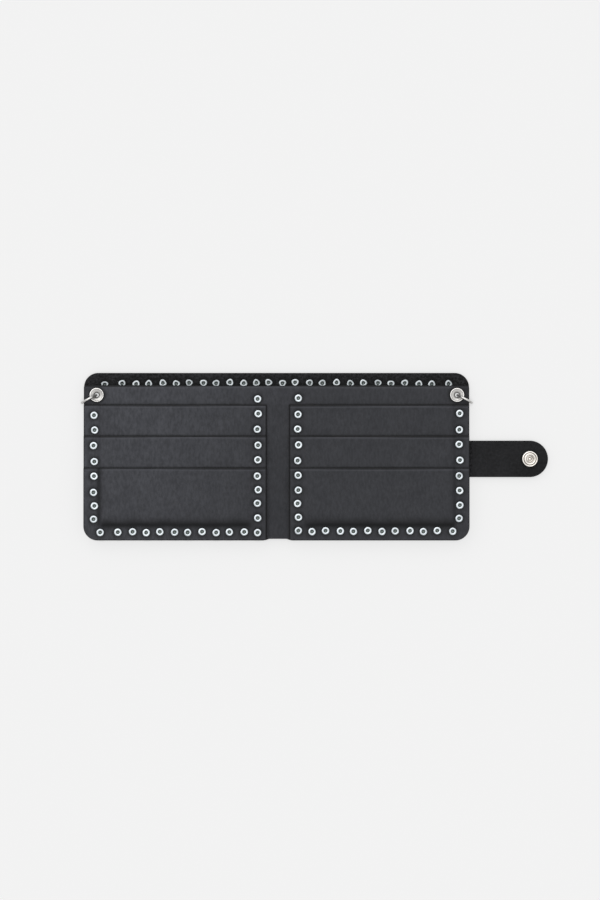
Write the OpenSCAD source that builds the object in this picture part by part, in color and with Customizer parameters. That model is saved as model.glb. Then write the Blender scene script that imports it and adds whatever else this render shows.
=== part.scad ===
// A studded leather chain wallet, lying open on its outer stud heads.
// +X runs along the open wallet towards the closing strap, +Y towards the note
// compartment's mouth, +Z up towards the inner face. All sizes are in millimetres.

/* [Leather outline] */
// From the middle of the spine to the right half's outer edge
right_w = 107.5; // [106.8:0.1:108]
// From the middle of the spine to the left half's outer edge
left_w = 109.1; // [108.6:0.1:109.1]
// Height of the cover, from its bottom edge to its top edge
cover_h = 94.1; // [93:0.1:96]
// Top edge of the inner panel above the wallet's mid-height
panel_top = 40.0; // [39.6:0.1:40.4]
// Top edges of the three card pockets above mid-height, rearmost pocket first
pocket_tops = [29.0, 11.5, -6.4];
// Where each card slot stops above mid-height, rearmost pocket first
slot_stops = [-15.0, -32.5, -39.2];
// Radius of the wallet's outer corners
corner_r = 8; // [6:0.5:9]
// Inner edge of the pockets from the middle of the spine
pocket_inner_x = 6.6; // [6.4:0.1:7]

/* [Leather thickness] */
// Cover leather
cover_t = 1.7; // [1.4:0.1:1.8]
// Gap of the note compartment
note_gap = 0.6; // [0.6:0.05:0.7]
// Inner panel leather
panel_t = 1.0; // [0.8:0.1:1.1]
// Gap of a card slot
card_gap = 0.3; // [0.25:0.05:0.35]
// Pocket leather over a card slot
pocket_t = 0.8; // [0.7:0.05:0.85]

/* [Studs] */
// Radius of a stud's domed head on the outer face
head_r = 3.2; // [2.8:0.1:3.3]
// Height of a stud's domed head
head_h = 2.6; // [2.5:0.1:2.8]
// Radius of a stud's tubular post
post_r = 1.3; // [1.1:0.05:1.35]
// Radius of the rolled end on the inner face
roll_r = 2.15; // [1.9:0.05:2.2]
// Height of the rolled end
roll_h = 0.45; // [0.3:0.05:0.45]
// Radius of the hole down the tube
tube_r = 0.95; // [0.7:0.05:1]
// How far the hand-set studs stray from their lines
stray = 0.28; // [0:0.02:0.3]

/* [Stud rows] */
// Right half's outer column from the middle of the spine
right_outer_x = 101.9; // [101.7:0.1:102.8]
// Left half's outer column from the middle of the spine
left_outer_x = 103.2; // [102.6:0.1:103.4]
// Inner columns from the middle of the spine
inner_x = 11.3; // [11:0.1:11.6]
// Right half's bottom row below mid-height
right_bottom_y = -41.8; // [-42.2:0.1:-41.7]
// Left half's bottom row below mid-height
left_bottom_y = -42.4; // [-42.5:0.1:-41.7]
// Spacing along the bottom row
bottom_pitch = 7.82; // [7.75:0.01:7.9]
// Spacing of the even run of studs along the left half's top edge
top_left_pitch = 7.57; // [7.5:0.01:7.6]
// Spacing of the even run of studs along the right half's top edge
top_right_pitch = 7.7; // [7.6:0.01:7.72]
// Top row above mid-height
top_y = 41.1; // [41:0.1:42]
// How much the top row bows up between its ends
top_bow = 0.8; // [0:0.1:0.9]

/* [Grommets and rings] */
// Grommet height above mid-height
grommet_y = 34.65; // [34.4:0.05:34.8]
// Left grommet from the middle of the spine
grommet_left_x = 101.9; // [101.8:0.1:102.2]
// Right grommet from the middle of the spine
grommet_right_x = 100.7; // [100.5:0.1:101]
// Radius of a grommet's flange
flange_r = 4.0; // [3.8:0.1:4]
// Radius of a grommet's bore
grommet_bore_r = 2.2; // [2.1:0.05:2.3]
// Centreline radius of a jump ring
ring_r = 4.6; // [4.5:0.05:4.65]
// Radius of the ring's wire
wire_r = 0.55; // [0.45:0.05:0.55]
// How far each ring droops below the outward direction, in degrees
ring_droop = 28; // [18:0.5:29]

/* [Folds and strap] */
// Fold lines from the middle of the spine
fold_x = 4.9; // [4.8:0.1:5]
// Width of the closing strap
strap_w = 20.5; // [18:0.5:22]
// Middle of the strap above mid-height
strap_y = -1.3; // [-3:0.1:3]
// The strap's first bend line from the middle of the spine
bend_x = 109.5; // [109.4:0.1:109.8]
// The snap, and the centre of the strap's round end, from the middle of the spine
snap_x = 141.7; // [141.5:0.1:144]

/* [Hidden] */
$fn = 48;

// Clearances and small margins
cut = 0.01;
fold_slit = 0.2;
hole_play = 0.05;
roll_play = 0.25;
small_corner_r = 1.5;
back_t = 0.4;
flat_crown_r = 1.2;
head_skirt = 0.5;
floor_gap = 0.1;
pivot_lift = 0.2;
spine_short = 0.8;
roll_chamfer = 0.3;

// Levels above the surface that the stud heads rest on
z_cover = head_h;
z_notes = z_cover + cover_t;
z_panel = z_notes + note_gap;
z_panel_top = z_panel + panel_t;
pocket_step = card_gap + pocket_t;
function pocket_z(k) = z_panel_top + k * pocket_step;
z_inside = pocket_z(3);
function leather_top(y) = pocket_z(len([for (top = pocket_tops) if (y < top) 1]));

bottom_edge = -cover_h / 2;
top_edge = cover_h / 2;

// Both folds turn on lines just above the inner panel, so the halves close face to face
fold_z = z_panel_top + pivot_lift;
closed_z = fold_z + fold_x;

// The note compartment is open along the top and pressed shut along the other edges
rim_x = 96.3;
rim_y = -38.9;
// A bank card is 85.6 wide, and each card slot leaves it a little play
slot_x0 = 14.3;
slot_x1 = 100.3;

// Studs: each row is a list of [x, y] on the +X side, strayed by a fixed rule. What differs between
// the halves is a list that RIGHT or LEFT picks from
RIGHT = 0;
LEFT = 1;
phases = [40, 160];
function stray_at(i, phase) = stray * sin(i * 137.5 + phase);
function strayed(p, i, phase) = p + [stray_at(i, phase), stray_at(i, phase + 90)];
edge_count = 8;
edge_first_ys = [24.0, 23.4];
edge_wide_pitch = 8.67;
edge_last_pitch = 7.7;
inner_count = 9;
inner_first_y = 32.6;
inner_wide_pitch = 8.68;
inner_last_pitch = 7.8;
wide_steps = 5;
bottom_count = 11;
outer_xs = [right_outer_x, left_outer_x];
bottom_ys = [right_bottom_y, left_bottom_y];
corner_stud_xs = [97.8, 99.9];

// The top row is an even run on each half, with one stud at each end and two over the spine
top_run = 10;
top_xs = concat(
    [-97.4],
    [for (i = [0:top_run]) -87.6 + i * top_left_pitch],
    [-5.5, 2.6],
    [for (i = [0:top_run]) 9.8 + i * top_right_pitch],
    [95.8]
);
top_count = len(top_xs);
spine_stud = top_run + 3;
top_phase = 200;

function column_y(i, first, wide, last) =
    first - min(i, wide_steps) * wide - max(i - wide_steps, 0) * last;
function edge_points(side) = [
    for (i = [0:edge_count - 1])
        let (y = column_y(i, edge_first_ys[side], edge_wide_pitch, edge_last_pitch))
            strayed([outer_xs[side], y], i, phases[side])
];
function inner_points(side) = [
    for (i = [0:inner_count - 1])
        strayed([inner_x, column_y(i, inner_first_y, inner_wide_pitch, inner_last_pitch)], i, phases[side])
];
function bottom_points(side) = [
    for (i = [0:bottom_count])
        let (x = i < bottom_count ? inner_x + i * bottom_pitch : corner_stud_xs[side])
            strayed([x, bottom_ys[side]], i, phases[side])
];
function top_rise(x) = top_bow * (0.5 - pow(x / top_xs[0], 2));
function top_point(k) = strayed([top_xs[k], top_y + top_rise(top_xs[k])], k, top_phase);

// The strap wraps the closed wallet: it rises at the first bend and turns back at the second
snap_stack = 2.9;
bend_z = z_notes + pivot_lift;
strap_inner_closed = 2 * closed_z - head_h + snap_stack;
riser_l = strap_inner_closed - pivot_lift - bend_z;
turn_x = bend_x + riser_l;
strap_end_x = snap_x + strap_w / 2;
// The snap's stud sits on the left cover where the socket lands on it
snap_stud_x = bend_x - (snap_x - turn_x);

// The snap: radii and heights from the leather face that each piece sits on
snap_rivet_r = 1.1;
snap_rivet_short = 0.3;
snap_flange_r = 3.2;
snap_base_r = 3.4;
snap_base_t = 0.35;
snap_neck_r = 1.45;
snap_neck_h = 1.05;
snap_bulb_r = 1.85;
snap_bulb_low = 1.35;
snap_bulb_high = 1.6;
snap_stud_h = 2.1;
socket_r = 4.45;
socket_h = 2.4;
socket_mouth_r = 2.3;
spring_r = 1.7;
spring_w = 0.95;
spring_turn = 320;
spring_groove_r = 2.7;
spring_play = 0.03;
spring_low = 1.8;
spring_high = 2.15;
cap_r = 5.8;
cap_h = 2.1;
cap_rim = 0.5;
cap_post_r = 1.4;
cap_roll_r = 1.85;
cap_roll_h = 0.2;

// Grommets: barrel and flared foot from the bore, and the washer between the foot and the cover
barrel_t = 0.5;
flare_t = 0.55;
foot_t = 1.1;
foot_drop = 0.55;
foot_roll = 0.1;
flange_h = 0.75;
flange_edge_h = 0.2;
flange_slope = 0.6;
flange_lip = 1;
barrel_cut_z = 0.3;
washer_r = 3.7;
washer_t = 0.35;
washer_play = 0.05;
barrel_r = grommet_bore_r + barrel_t;

// Jump rings stand upright through the grommets and round the wallet's edge
ring_z = floor_gap + wire_r + ring_r;
ring_offset = 4.95;
ring_slit = 1.5;
ring_slit_turn = 70;
ring_reach = grommet_left_x + (ring_offset + ring_r) * cos(ring_droop) + wire_r;

// The model's origin is under the middle of its whole box
mid_x = (strap_end_x - ring_reach) / 2;

leather_grey = [0.26, 0.26, 0.28];
leather_black = [0.15, 0.15, 0.16];
steel = [0.78, 0.80, 0.84];
nickel = [0.76, 0.74, 0.70];

module framed() {
    translate([-mid_x, 0, 0]) children();
}

module left_side() {
    mirror([1, 0, 0]) children();
}

module box(low, high) {
    translate(low) cube(high - low);
}

// What is cut off a square corner at the origin to round it
module corner_waste(r, h) {
    difference() {
        translate([-1, -1, -cut]) cube([r + 1, r + 1, h + 2 * cut]);
        translate([r, r, -1]) cylinder(r = r, h = h + 2);
    }
}

// A flat sheet from x0 to x1 and y0 to y1, with its two outer corners and its inner bottom one rounded
module sheet(x0, x1, y0, y1, z0, t, top_r, bottom_r, inner_r) {
    difference() {
        box([x0, y0, z0], [x1, y1, z0 + t]);
        translate([x1, y1, z0]) rotate([0, 0, 180]) corner_waste(top_r, t);
        translate([x1, y0, z0]) rotate([0, 0, 90]) corner_waste(bottom_r, t);
        if (inner_r > 0) translate([x0, y0, z0]) corner_waste(inner_r, t);
    }
}

module holes(points, r) {
    for (p = points) translate([p[0], p[1], -1]) cylinder(r = r, h = z_inside + 2);
}

// A stud pressed in from outside: domed head, tubular post, end rolled over the leather
module rolled_end() {
    rotate_extrude() polygon([
        [tube_r, -cut], [post_r, -cut], [post_r, 0], [roll_r, 0], [roll_r, roll_h * 0.4],
        [roll_r - roll_chamfer, roll_h], [tube_r + roll_chamfer, roll_h], [tube_r, roll_h * 0.5]
    ]);
}

module stud(top) {
    rim_z = head_h - head_skirt;
    dome_z = (head_r * head_r + rim_z * rim_z - flat_crown_r * flat_crown_r) / (2 * rim_z);
    dome_r = sqrt(flat_crown_r * flat_crown_r + dome_z * dome_z);
    difference() {
        union() {
            intersection() {
                translate([0, 0, dome_z]) sphere(r = dome_r);
                cylinder(r = head_r, h = head_h);
            }
            translate([0, 0, head_h - cut]) cylinder(r = post_r, h = top - head_h + cut);
            translate([0, 0, top]) rolled_end();
        }
        translate([0, 0, head_h * 0.6]) cylinder(r = tube_r, h = z_inside);
    }
}

// A short rivet with a flat back that lies inside the note compartment
module flat_back_rivet(top) {
    difference() {
        union() {
            translate([0, 0, z_panel - back_t]) cylinder(r = roll_r, h = back_t);
            translate([0, 0, z_panel - cut]) cylinder(r = post_r, h = top - z_panel + cut);
            translate([0, 0, top]) rolled_end();
        }
        translate([0, 0, z_panel - back_t * 0.4]) cylinder(r = tube_r, h = z_inside);
    }
}

module studs(points) {
    for (p = points) translate([p[0], p[1], 0]) stud(leather_top(p[1]));
}

module flat_back_rivets(points) {
    for (p = points) translate([p[0], p[1], 0]) flat_back_rivet(leather_top(p[1]));
}

// Top row studs hold the cover only, with their rolled ends under the panel's edge
module top_studs(first, last) {
    for (k = [first:last]) translate([top_point(k)[0], top_point(k)[1], 0]) stud(z_notes);
}

module top_holes(r, low, high) {
    for (k = [0:top_count - 1])
        translate([top_point(k)[0], top_point(k)[1], low]) cylinder(r = r, h = high - low);
}

module grommet_hole(x) {
    translate([x, grommet_y, 0]) cylinder(r = barrel_r + hole_play, h = z_inside);
}

// A half's cover, drawn on the +X side
module half_cover(w, grommet_x, side) {
    difference() {
        sheet(fold_x + fold_slit / 2, w, bottom_edge, top_edge, z_cover, cover_t,
            corner_r, corner_r, 0);
        holes(edge_points(side), post_r + hole_play);
        holes(bottom_points(side), post_r + hole_play);
        grommet_hole(grommet_x);
    }
}

// A half's inner panel: a rim glued to the cover round the open note compartment
module half_panel(w, grommet_x, side) {
    x0 = fold_x + fold_slit / 2;
    difference() {
        sheet(x0, w, bottom_edge, panel_top, z_notes, note_gap + panel_t,
            small_corner_r, corner_r, 0);
        box([x0 - 1, rim_y, z_notes - 1], [rim_x, panel_top + 1, z_panel]);
        holes(edge_points(side), post_r + hole_play);
        holes(bottom_points(side), post_r + hole_play);
        holes(inner_points(side), post_r + hole_play);
        grommet_hole(grommet_x);
    }
}

// Card pocket k, numbered from the rearmost: the slot is the shallow recess in its underside
module pocket(k, w, side) {
    difference() {
        sheet(pocket_inner_x, w, bottom_edge, pocket_tops[k], pocket_z(k), pocket_step,
            small_corner_r, corner_r, small_corner_r);
        box([slot_x0, slot_stops[k], pocket_z(k) - 1], [slot_x1, pocket_tops[k] + 1,
            pocket_z(k) + card_gap]);
        holes(edge_points(side), post_r + hole_play);
        holes(bottom_points(side), post_r + hole_play);
        holes(inner_points(side), post_r + hole_play);
    }
}

// A grommet: a barrel through both leathers, with a dished flange inside and a rolled foot
module grommet() {
    foot_r = grommet_bore_r + foot_t;
    foot_z = z_cover - foot_drop;
    foot_top = z_cover - washer_t;
    top = z_panel_top + flange_h;
    rotate_extrude() polygon([
        [grommet_bore_r + flare_t, foot_z], [foot_r, foot_z + foot_roll], [foot_r, foot_top],
        [barrel_r, foot_top], [barrel_r, z_panel_top],
        [flange_r, z_panel_top], [flange_r, z_panel_top + flange_edge_h],
        [flange_r - flange_slope, top], [flange_r - flange_lip, top],
        [grommet_bore_r, z_panel_top], [grommet_bore_r, z_cover + barrel_cut_z]
    ]);
}

module grommet_washer() {
    translate([0, 0, z_cover - washer_t]) difference() {
        cylinder(r = washer_r, h = washer_t);
        translate([0, 0, -1]) cylinder(r = barrel_r + washer_play, h = washer_t + 2);
    }
}

// An upright jump ring, drawn at its grommet on the +X side
module chain_ring(grommet_x) {
    translate([grommet_x, grommet_y, 0])
        rotate([0, 0, -ring_droop])
            translate([ring_offset, 0, ring_z])
                rotate([90, 0, 0])
                    rotate([0, 0, ring_slit_turn])
                        rotate_extrude(angle = 360 - ring_slit)
                            translate([ring_r, 0]) circle(r = wire_r);
}

module strap_strip(x0, x1) {
    box([x0, strap_y - strap_w / 2, z_cover], [x1, strap_y + strap_w / 2, z_notes]);
}

module cover_right() {
    color(leather_black) framed() {
        difference() {
            union() {
                half_cover(right_w, grommet_right_x, RIGHT);
                strap_strip(right_w - 1, bend_x - fold_slit / 2);
            }
            top_holes(post_r + hole_play, -1, z_inside);
        }
    }
}

module cover_left() {
    color(leather_black) framed() {
        difference() {
            left_side() half_cover(left_w, grommet_left_x, LEFT);
            top_holes(post_r + hole_play, -1, z_inside);
            translate([-snap_stud_x, strap_y, 0]) cylinder(r = snap_rivet_r + hole_play, h = z_inside);
        }
    }
}

// The spine is notched where a neighbouring half's rolled stud overhangs it
module cover_spine() {
    color(leather_black) framed() {
        difference() {
            box([-fold_x + fold_slit / 2, bottom_edge + spine_short, z_cover],
                [fold_x - fold_slit / 2, top_edge, z_notes]);
            top_holes(post_r + hole_play, -1, z_inside);
            for (k = [spine_stud - 1, spine_stud + 1])
                translate([top_point(k)[0], top_point(k)[1], 0])
                    cylinder(r = roll_r + roll_play, h = z_inside);
        }
    }
}

module panel_with_relief() {
    difference() {
        children();
        top_holes(roll_r + roll_play, z_notes - 1, z_notes + roll_h + floor_gap);
    }
}

module inner_panel_right() {
    color(leather_grey) framed()
        panel_with_relief() half_panel(right_w, grommet_right_x, RIGHT);
}

// The glued rim is also cut away round the flange of the snap stud's rivet
module inner_panel_left() {
    color(leather_grey) framed() difference() {
        panel_with_relief() left_side() half_panel(left_w, grommet_left_x, LEFT);
        translate([-snap_stud_x, strap_y, z_notes - 1])
            cylinder(r = snap_flange_r + roll_play, h = note_gap + 1);
    }
}

module inner_panel_spine() {
    color(leather_grey) framed() {
        x = fold_x - fold_slit / 2;
        box([-x, bottom_edge + spine_short, z_panel], [x, panel_top, z_panel_top]);
        box([-x, bottom_edge + spine_short, z_notes], [x, rim_y, z_panel + cut]);
    }
}

module pocket_right(k) {
    color(leather_grey) framed() pocket(k, right_w, RIGHT);
}

module pocket_left(k) {
    color(leather_grey) framed() left_side() pocket(k, left_w, LEFT);
}

module edge_studs_right() {
    color(steel) framed() studs(edge_points(RIGHT));
}

module bottom_studs_right() {
    color(steel) framed() studs(bottom_points(RIGHT));
}

module inner_studs_right() {
    color(steel) framed() flat_back_rivets(inner_points(RIGHT));
}

module top_studs_right() {
    color(steel) framed() top_studs(spine_stud + 1, top_count - 1);
}

module top_stud_spine() {
    color(steel) framed() top_studs(spine_stud, spine_stud);
}

module edge_studs_left() {
    color(steel) framed() left_side() studs(edge_points(LEFT));
}

module bottom_studs_left() {
    color(steel) framed() left_side() studs(bottom_points(LEFT));
}

module inner_studs_left() {
    color(steel) framed() left_side() flat_back_rivets(inner_points(LEFT));
}

module top_studs_left() {
    color(steel) framed() top_studs(0, spine_stud - 1);
}

module grommet_right() {
    color(nickel) framed() translate([grommet_right_x, grommet_y, 0]) grommet();
}

module grommet_left() {
    color(nickel) framed() translate([-grommet_left_x, grommet_y, 0]) grommet();
}

module grommet_washer_right() {
    color(nickel) framed() translate([grommet_right_x, grommet_y, 0]) grommet_washer();
}

module grommet_washer_left() {
    color(nickel) framed() translate([-grommet_left_x, grommet_y, 0]) grommet_washer();
}

module chain_ring_right() {
    color(nickel) framed() chain_ring(grommet_right_x);
}

module chain_ring_left() {
    color(nickel) framed() left_side() chain_ring(grommet_left_x);
}

// The snap's stud on the left cover's outer face, points downward while the wallet is open
module snap_stud() {
    color(nickel) framed() translate([-snap_stud_x, strap_y, z_cover]) mirror([0, 0, 1])
        rotate_extrude() polygon([
            [snap_rivet_r + hole_play, 0], [snap_base_r, 0], [snap_base_r, snap_base_t * 0.6],
            [snap_base_r - 0.3, snap_base_t], [snap_neck_r, snap_base_t],
            [snap_neck_r, snap_neck_h], [snap_bulb_r, snap_bulb_low],
            [snap_bulb_r, snap_bulb_high], [snap_neck_r, snap_stud_h],
            [snap_rivet_r + hole_play, snap_stud_h]
        ]);
}

// The rivet that holds the snap's stud, with its thin flange inside the note compartment
module snap_stud_rivet() {
    color(nickel) framed() translate([-snap_stud_x, strap_y, z_notes]) {
        cylinder(r = snap_flange_r, h = back_t);
        translate([0, 0, cut - cover_t - snap_stud_h + snap_rivet_short])
            cylinder(r = snap_rivet_r, h = cover_t + snap_stud_h - snap_rivet_short);
    }
}

module strap_riser() {
    color(leather_black) framed() strap_strip(bend_x + fold_slit / 2, turn_x - fold_slit / 2);
}

module strap_tip() {
    color(leather_black) framed() difference() {
        union() {
            strap_strip(turn_x + fold_slit / 2, snap_x);
            translate([snap_x, strap_y, z_cover]) cylinder(r = strap_w / 2, h = cover_t);
        }
        translate([snap_x, strap_y, 0]) cylinder(r = cap_post_r + hole_play, h = z_inside);
    }
}

// The snap's domed cap on the strap's outer face, with its post rolled over in the socket
module snap_cap() {
    rise = cap_h - cap_rim;
    dome_r = (cap_r * cap_r + rise * rise) / (2 * rise);
    color(nickel) framed() translate([snap_x, strap_y, z_cover]) {
        intersection() {
            translate([0, 0, dome_r - cap_h]) sphere(r = dome_r);
            translate([0, 0, -cap_h]) cylinder(r = cap_r, h = cap_h);
        }
        translate([0, 0, -cut]) cylinder(r = cap_post_r, h = cover_t + snap_base_t + 2 * cut);
        translate([0, 0, cover_t + snap_base_t]) cylinder(r = cap_roll_r, h = cap_roll_h);
    }
}

module snap_socket() {
    color(nickel) framed() translate([snap_x, strap_y, z_notes])
        rotate_extrude() polygon([
            [cap_post_r + hole_play, 0], [socket_r, 0], [socket_r, socket_h - 0.8],
            [socket_r - 0.25, socket_h - 0.3], [socket_r - 0.8, socket_h],
            [socket_mouth_r + 0.3, socket_h], [socket_mouth_r, socket_h - 0.15],
            [socket_mouth_r, spring_high + spring_play], [spring_groove_r, spring_high + spring_play],
            [spring_groove_r, spring_low - spring_play], [socket_mouth_r, spring_low - spring_play],
            [socket_mouth_r, snap_base_t], [cap_post_r + hole_play, snap_base_t]
        ]);
}

// The split spring ring that grips the stud's neck
module snap_spring() {
    color(nickel) framed() translate([snap_x, strap_y, z_notes + spring_low])
        rotate([0, 0, 100])
            rotate_extrude(angle = spring_turn)
                translate([spring_r, 0]) square([spring_w, spring_high - spring_low]);
}

cover_right();
inner_panel_right();
pocket_right(0);  // top_pocket_right
pocket_right(1);  // middle_pocket_right
pocket_right(2);  // bottom_pocket_right
edge_studs_right();
bottom_studs_right();
inner_studs_right();
top_studs_right();
grommet_right();
grommet_washer_right();
chain_ring_right();
cover_spine();
inner_panel_spine();
top_stud_spine();
cover_left();
inner_panel_left();
pocket_left(0);  // top_pocket_left
pocket_left(1);  // middle_pocket_left
pocket_left(2);  // bottom_pocket_left
edge_studs_left();
bottom_studs_left();
inner_studs_left();
top_studs_left();
grommet_left();
grommet_washer_left();
chain_ring_left();
snap_stud();
snap_stud_rivet();
strap_riser();
strap_tip();
snap_cap();
snap_socket();
snap_spring();
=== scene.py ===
"""The looks of the studded chain wallet: leather sheets, rolled studs, grommets, rings and snap."""
import math

import bmesh
import bpy
import numpy as np
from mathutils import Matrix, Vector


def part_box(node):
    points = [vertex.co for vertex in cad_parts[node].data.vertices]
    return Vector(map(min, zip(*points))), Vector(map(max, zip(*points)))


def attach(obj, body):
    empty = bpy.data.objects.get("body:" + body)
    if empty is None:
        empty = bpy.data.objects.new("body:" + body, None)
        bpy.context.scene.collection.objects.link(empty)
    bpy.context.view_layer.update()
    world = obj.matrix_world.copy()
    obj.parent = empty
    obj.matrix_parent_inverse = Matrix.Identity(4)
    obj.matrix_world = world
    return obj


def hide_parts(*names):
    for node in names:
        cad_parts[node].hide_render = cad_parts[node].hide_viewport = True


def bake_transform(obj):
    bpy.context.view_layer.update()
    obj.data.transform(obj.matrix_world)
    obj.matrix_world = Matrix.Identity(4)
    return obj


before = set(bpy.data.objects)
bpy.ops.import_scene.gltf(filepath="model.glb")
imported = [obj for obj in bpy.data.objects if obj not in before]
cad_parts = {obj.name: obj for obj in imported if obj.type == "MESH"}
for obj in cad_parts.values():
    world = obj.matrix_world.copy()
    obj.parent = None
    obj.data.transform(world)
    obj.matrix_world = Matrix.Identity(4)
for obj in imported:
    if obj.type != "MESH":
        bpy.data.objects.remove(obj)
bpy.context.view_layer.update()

MM = 0.001
SIDES = {"right": 1.0, "left": -1.0}


# ---------------------------------------------------------------- places taken from the frame

def low(node):
    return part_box(node)[0]


def high(node):
    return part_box(node)[1]


SPINE_X = (low("cover_spine").x + high("cover_spine").x) / 2
PANEL_EDGE = {"right": high("inner_panel_right").x, "left": low("inner_panel_left").x}
PANEL_TOP = high("inner_panel_spine").z
WALLET_LOW_Y = low("cover_left").y
WALLET_HIGH_Y = high("cover_left").y
COVER_TOP = high("cover_left").z
COVER_THICK = COVER_TOP - low("cover_left").z
STRAP_LOW_Y = low("strap_riser").y
STRAP_HIGH_Y = high("strap_riser").y
BEND_X = low("strap_riser").x
TURN_X = low("strap_tip").x
STRAP_END_X = high("strap_tip").x


def middle_of(node):
    a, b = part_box(node)
    return ((a.x + b.x) / 2, (a.y + b.y) / 2)


def solids(node):
    """The centre, foot and top of each separate solid in a node: faces that share a corner are joined."""
    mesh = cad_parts[node].data
    keys = [tuple(round(c * 1e6) for c in v.co) for v in mesh.vertices]
    leader = {key: key for key in keys}

    def find(key):
        while leader[key] != key:
            leader[key] = leader[leader[key]]
            key = leader[key]
        return key
    for face in mesh.polygons:
        first, *others = [keys[i] for i in face.vertices]
        for other in others:
            leader[find(other)] = find(first)
    groups = {}
    for key, v in zip(keys, mesh.vertices):
        groups.setdefault(find(key), []).append(v.co)
    out = []
    for group in groups.values():
        xs, ys, zs = zip(*group)
        out.append(((min(xs) + max(xs)) / 2, (min(ys) + max(ys)) / 2, min(zs), max(zs)))
    return sorted(out)


STUD_ROWS = {f"{row}_studs_{side}": solids(f"{row}_studs_{side}")
             for side in SIDES for row in ("edge", "bottom", "inner", "top")}
STUD_ROWS["top_stud_spine"] = solids("top_stud_spine")


def studs_in(side, *rows):
    return [stud for row in rows for stud in STUD_ROWS[f"{row}_studs_{side}"]]


# ---------------------------------------------------------------- working with meshes

def deselect():
    if bpy.context.object and bpy.context.object.mode != "OBJECT":
        bpy.ops.object.mode_set(mode="OBJECT")
    bpy.ops.object.select_all(action="DESELECT")


def pick(piece):
    deselect()
    piece.select_set(True)
    bpy.context.view_layer.objects.active = piece


def settle(piece):
    """Puts a finished piece's place into its mesh."""
    pick(piece)
    bpy.ops.object.transform_apply(location=True, rotation=True, scale=True)


def points_of(piece):
    flat = np.empty(len(piece.data.vertices) * 3, np.float64)
    piece.data.vertices.foreach_get("co", flat)
    return flat.reshape(-1, 3)


def move_points(piece, points):
    piece.data.vertices.foreach_set("co", points.astype(np.float32).ravel())
    piece.data.update()


def store(piece, name, values):
    layer = piece.data.attributes.get(name) or piece.data.attributes.new(name, "FLOAT", "POINT")
    layer.data.foreach_set("value", np.asarray(values, np.float32))


def apply_modifier(piece, kind, **settings):
    pick(piece)
    modifier = piece.modifiers.new(kind.title(), kind)
    for name, value in settings.items():
        setattr(modifier, name, value)
    bpy.ops.object.modifier_apply(modifier=modifier.name)


def smooth_look(piece, angle=40):
    pick(piece)
    bpy.ops.object.shade_smooth_by_angle(angle=math.radians(angle))


def ease(t):
    t = np.clip(t, 0, 1)
    return t * t * (3 - 2 * t)


def rise(value, start, width):
    """0 up to start and 1 from start + width on, with a smooth step between."""
    return ease((value - start) / width)


def fall(value, start, width):
    return 1 - rise(value, start, width)


def hump(distance, width):
    return np.exp(-(distance / width) ** 2)


# ---------------------------------------------------------------- leather sheets

SHEET_STEP = 0.65 * MM
CORNER_R = 8.0 * MM
POCKET_THICK = 1.05 * MM
PANEL_THICK = 1.0 * MM
STUD_HOLE_R = 1.5 * MM
GROMMET_HOLE_R = 3.05 * MM
SNAP_HOLE_R = 1.6 * MM
BORDER_ROWS = ("edge", "bottom", "inner")
LEVELS = ("top", "middle", "bottom")
FRONT = len(LEVELS) - 1
SLOT_INNER = 13.8 * MM
SLOT_FOOT = -39.3 * MM
FRONT_WALL_SHADE = {"right": 0.45, "left": 0.78}
BACK_WALL_SHADE = 0.16
NECK_X = BEND_X - 0.5 * MM
STRAP_HALF_WAY = (BEND_X + TURN_X) / 2


def lines(*stops):
    """Grid lines that pass through every stop, about one sheet step apart."""
    out = [stops[0]]
    for a, b in zip(stops, stops[1:]):
        count = max(1, round((b - a) / SHEET_STEP))
        out.extend(a + (b - a) * k / count for k in range(1, count + 1))
    return np.array(out)


def grid(name, x_lines, y_lines, z):
    deselect()
    bpy.ops.mesh.primitive_grid_add(
        x_subdivisions=len(x_lines) - 1, y_subdivisions=len(y_lines) - 1, size=1)
    piece = bpy.context.object
    piece.name = name
    points = points_of(piece)
    column = np.rint((points[:, 0] + 0.5) * (len(x_lines) - 1)).astype(int)
    row = np.rint((points[:, 1] + 0.5) * (len(y_lines) - 1)).astype(int)
    points[:, 0], points[:, 1], points[:, 2] = x_lines[column], y_lines[row], z
    move_points(piece, points)
    return piece


def round_corner(points, x, y, inward_x, inward_y, radius):
    """Draws the square corner of a grid at x, y in to a quarter circle."""
    centre_x, centre_y = x + inward_x * radius, y + inward_y * radius
    u = (centre_x - points[:, 0]) * inward_x / radius
    v = (centre_y - points[:, 1]) * inward_y / radius
    near = (u > 0) & (v > 0) & (u < 1.0001) & (v < 1.0001)
    u, v = u[near], v[near]
    points[near, 0] = centre_x - inward_x * radius * u * np.sqrt(1 - v * v / 2)
    points[near, 1] = centre_y - inward_y * radius * v * np.sqrt(1 - u * u / 2)


def cut_faces(piece, unwanted):
    """Deletes the faces whose centres unwanted(x, y) picks out."""
    pick(piece)
    bpy.ops.object.mode_set(mode="EDIT")
    bpy.ops.mesh.select_mode(type="FACE")
    bpy.ops.mesh.select_all(action="DESELECT")
    sheet = bmesh.from_edit_mesh(piece.data)
    for face in sheet.faces:
        centre = face.calc_center_median()
        face.select = bool(unwanted(centre.x, centre.y))
    bmesh.update_edit_mesh(piece.data)
    bpy.ops.mesh.delete(type="FACE")
    bpy.ops.object.mode_set(mode="OBJECT")


def near_any(places, radius):
    spots = np.array([place[:2] for place in places])

    def test(x, y):
        return np.min(np.hypot(spots[:, 0] - x, spots[:, 1] - y)) < radius
    return test


def distance_to(points, places):
    out = np.full(len(points), 1.0)
    for place in places:
        out = np.minimum(out, np.hypot(points[:, 0] - place[0], points[:, 1] - place[1]))
    return out


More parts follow.
